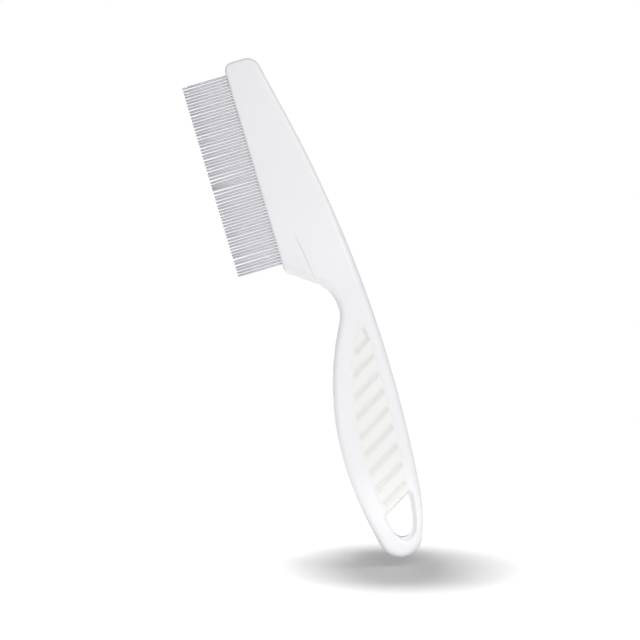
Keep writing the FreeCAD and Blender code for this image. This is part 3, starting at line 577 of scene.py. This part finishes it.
def insert_surface():
    """Slanted lines across the window, each from its left side to its right side. The height over a
    line rises softly from the window's edge, and sinks along each groove by a power of the closeness
    to its middle line, or to the dot at either end. Front and rear faces join along the window's
    edge. The share of the full depth is also returned for each point."""
    outline = traced(window_sides, WINDOW_LOW_Z, WINDOW_HIGH_Z, 1200)
    offset = outline[:, 1] - outline[:, 0] * GRIP_SLOPE
    low, high = int(offset.argmin()), int(offset.argmax())
    turned = np.roll(outline, -low, 0)
    turned_offset = np.roll(offset, -low)
    top = (high - low) % len(outline)
    up_left, up_right = slice(0, top + 1), slice(top, None)
    line = np.concatenate((packed(INSERT_LOW_Z, 12, 12, True, False)[:-1], np.linspace(12, 66, 360)[:-1],
                           packed(66, offset[high] - 0.02, 40, False, True)))
    left_x = np.interp(line, turned_offset[up_left], turned[up_left, 0])
    right_x = np.interp(line, turned_offset[up_right][::-1], turned[up_right, 0][::-1])
    share = packed(0, 1, 64)
    x = left_x[:, None] + (right_x - left_x)[:, None] * share
    z = line[:, None] + x * GRIP_SLOPE
    flat = np.stack((x, z), -1)

    gap = gap_to(flat, outline)[0]
    end_gap = np.maximum(line - INSERT_LOW_Z, 0)[:, None] * math.cos(math.atan(GRIP_SLOPE))
    shoulder = np.clip(np.minimum(gap, end_gap * LOW_END_SHOULDER) / RIB_SHOULDER, 0, 1)
    height = face_height(x, z) - PANEL_DROP + RIB_RISE * np.sqrt(1 - (1 - shoulder) ** 2)
    height = height - round_off(np.repeat(end_gap, x.shape[1], 1), LOW_END_R)
    slant = math.cos(math.atan(GRIP_SLOPE))
    dips = np.zeros(x.shape)
    for groove in GROOVES:
        start_x = np.interp(groove, turned_offset[up_left], turned[up_left, 0]) + GROOVE_INSET
        end_x = np.interp(groove, turned_offset[up_right][::-1], turned[up_right, 0][::-1]) - GROOVE_INSET
        across = ((line - groove) * slant)[:, None] / GROOVE_HALF
        beyond = np.maximum(np.maximum(start_x - x, x - end_x), 0) / slant
        reach = np.hypot(across, beyond / GROOVE_HALF)
        dot_centres = ((start_x + DOT_INSET, LEFT_DOT_LIFT), (end_x - DOT_INSET, RIGHT_DOT_LIFT))
        dots = [np.hypot(x - end, z - groove - end * GRIP_SLOPE - lift) / GROOVE_END_R
                for end, lift in dot_centres]
        reach = np.minimum(reach, np.minimum(*dots))
        dips = np.maximum(dips, np.clip(1 - reach, 0, 1) ** GROOVE_CURVE)
    tip_low, tip_high = np.array(TOP_GROOVE)
    run = tip_high - tip_low
    share_up = np.clip(((flat - tip_low) * run).sum(-1) / (run @ run), 0, 1)
    reach = np.linalg.norm(flat - tip_low - run * share_up[..., None], axis=-1) / TOP_GROOVE_HALF
    dips = np.maximum(dips, np.clip(1 - reach, 0, 1) ** GROOVE_CURVE)
    height = height - GROOVE_DEPTH * dips
    front = np.stack((x, -height, z), -1)
    rear = front * (1, -1, 1)
    loop = np.concatenate((front, rear[:, ::-1]), 1)
    number = np.arange(loop.shape[0] * loop.shape[1]).reshape(loop.shape[:2])
    after = np.roll(number, -1, 1)
    quads = np.stack((number[:-1], after[:-1], after[1:], number[1:]), -1).reshape(-1, 4)
    ends = []
    half = x.shape[1]
    for row, turned_over in ((0, True), (-1, False)):
        near, far = number[row, :half], number[row, half:][::-1]
        strip = np.stack((near[:-1], near[1:], far[1:], far[:-1]), -1)
        ends.append(strip[:, ::-1] if turned_over else strip)
    depth = np.concatenate((dips, dips[:, ::-1]), 1)
    return loop.reshape(-1, 3), np.concatenate((quads, *ends)), depth.reshape(-1)


points, quads, groove_depth = insert_surface()
insert = make_piece("grip_panel", points, quads, sharp_degrees=60, groove=groove_depth)
# Soft thermoplastic rubber from a matt mould: warmer than the ABS, and without its highlights. The
# grooves are tinted a little greyer towards the bottom, to stand for the shade in a narrow groove.
rubber = moulded_plastic("offwhite_tpe_rubber_moulded_matt", "#F4F4F2", 0.62, 0.30, 0.006, 6.0, "#EBEAE5")
insert.data.materials.append(rubber)
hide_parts("grip_insert")
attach(insert, "root")

# ---------------------------------------------------------------------------------------------
# Pin bar
# The plain plastic strip that the pins are moulded into before it is pressed into the head's slot.
# The engineering model's own bar is kept; only its front shows, deep between the lips.
# ---------------------------------------------------------------------------------------------
# Natural polymer, as moulded: a duller and slightly greyer white than the head round it.
bar_plastic = moulded_plastic("natural_polymer_bar_as_moulded", "#DCDCE0", 0.45, 0.25, 0.003, 7.0)
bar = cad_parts["pin_bar"]
bar.data.materials.clear()
bar.data.materials.append(bar_plastic)

# ---------------------------------------------------------------------------------------------
# Pins
# Sixty-five straight steel wires in one row, cut to length and tumbled so that their tips are
# round. They are held in the bar and stand out square to the tooth edge, a few slightly out of true.
# ---------------------------------------------------------------------------------------------
PIN_COUNT, PIN_PITCH, PIN_FIRST_Z, PIN_R = 65, 1.05, 108.9, 0.37
PIN_ROOT, PIN_TIP = 4.2, -15.8
PIN_SIDES = 14
SPLAY = 0.07                     # mm at the tip, one standard deviation
BUNDLES = ((141.0, 0.26), (116.0, 0.22))     # height, and how far the pins beside it lean together
BUNDLE_TURN, BUNDLE_REACH = 1.2, 2.6


def pins_surface():
    """One round wire per pitch: circles along its length that close to a point at the tip as a dome.
    Each is bent from the tooth edge outwards by its own small splay, in and across the row."""
    draw = np.random.default_rng(23)
    root_z = PIN_FIRST_Z + PIN_PITCH * np.arange(PIN_COUNT)
    splay = draw.normal(0, SPLAY, (2, PIN_COUNT))
    for bundle_z, pull in BUNDLES:
        away = bundle_z - root_z
        splay[0] += pull * np.tanh(away / BUNDLE_TURN) * np.exp(-(away / BUNDLE_REACH) ** 2)
    dome = np.linspace(0, math.pi / 2, 5)
    along = np.concatenate(([PIN_ROOT, 0.0, -5.0, -10.0], PIN_TIP + PIN_R * (1 - np.sin(dome[:-1]))))
    girth = np.concatenate((np.full(4, PIN_R), PIN_R * np.cos(dome[:-1])))
    turn = np.arange(PIN_SIDES) * 2 * math.pi / PIN_SIDES
    bend = np.clip(-along / -PIN_TIP, 0, 1)
    x = np.broadcast_to(along[None, :, None], (PIN_COUNT, len(along), PIN_SIDES))
    y = girth[None, :, None] * np.sin(turn) + (splay[1][:, None] * bend)[..., None]
    z = root_z[:, None, None] + girth[None, :, None] * np.cos(turn) + (splay[0][:, None] * bend)[..., None]
    rings = np.stack((x, np.broadcast_to(y, x.shape), np.broadcast_to(z, x.shape)), -1)
    number = np.arange(rings[..., 0].size).reshape(rings.shape[:3])
    after = np.roll(number, -1, 2)
    quads = np.stack((number[:, :-1], after[:, :-1], after[:, 1:], number[:, 1:]), -1).reshape(-1, 4)
    caps = [*number[:, 0, ::-1].tolist(), *number[:, -1].tolist()]
    return rings.reshape(-1, 3), quads, caps


pins = make_piece("pin_row", *pins_surface(), sharp_degrees=50)


def drawn_steel(name, colour, roughness, line_mm):
    """Drawn stainless wire: fine lines run along the wire and spread its highlight across them."""
    material, tree, output = new_material(name)
    place = add_node(tree, "ShaderNodeTexCoord")
    stretch = add_node(tree, "ShaderNodeMapping", sockets={"Scale": (0.02, 1, 1)},
                       links={"Vector": place.outputs["Object"]})
    lines = add_node(tree, "ShaderNodeTexNoise", sockets={"Scale": 1 / (line_mm * MM), "Detail": 2.0},
                     links={"Vector": stretch.outputs[0]})
    bump = add_node(tree, "ShaderNodeBump", sockets={"Strength": 1.0, "Distance": 0.0008 * MM},
                    links={"Height": lines.outputs[0]})
    gloss = add_node(tree, "ShaderNodeMapRange",
                     sockets={"To Min": roughness - GLOSS_DRIFT, "To Max": roughness + GLOSS_DRIFT},
                     links={"Value": lines.outputs[0]})
    shader = add_node(tree, "ShaderNodeBsdfPrincipled",
                      sockets={"Base Color": linear(colour), "Metallic": 1.0},
                      links={"Normal": bump.outputs[0], "Roughness": gloss.outputs[0]})
    tree.links.new(shader.outputs[0], output.inputs["Surface"])
    return material


# Polished stainless wire: a light grey metal with a soft line of light down each pin.
steel = drawn_steel("stainless_steel_wire_drawn_polished", "#CFCED6", 0.38, 0.05)
pins.data.materials.append(steel)
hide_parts("pins")
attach(pins, "root")
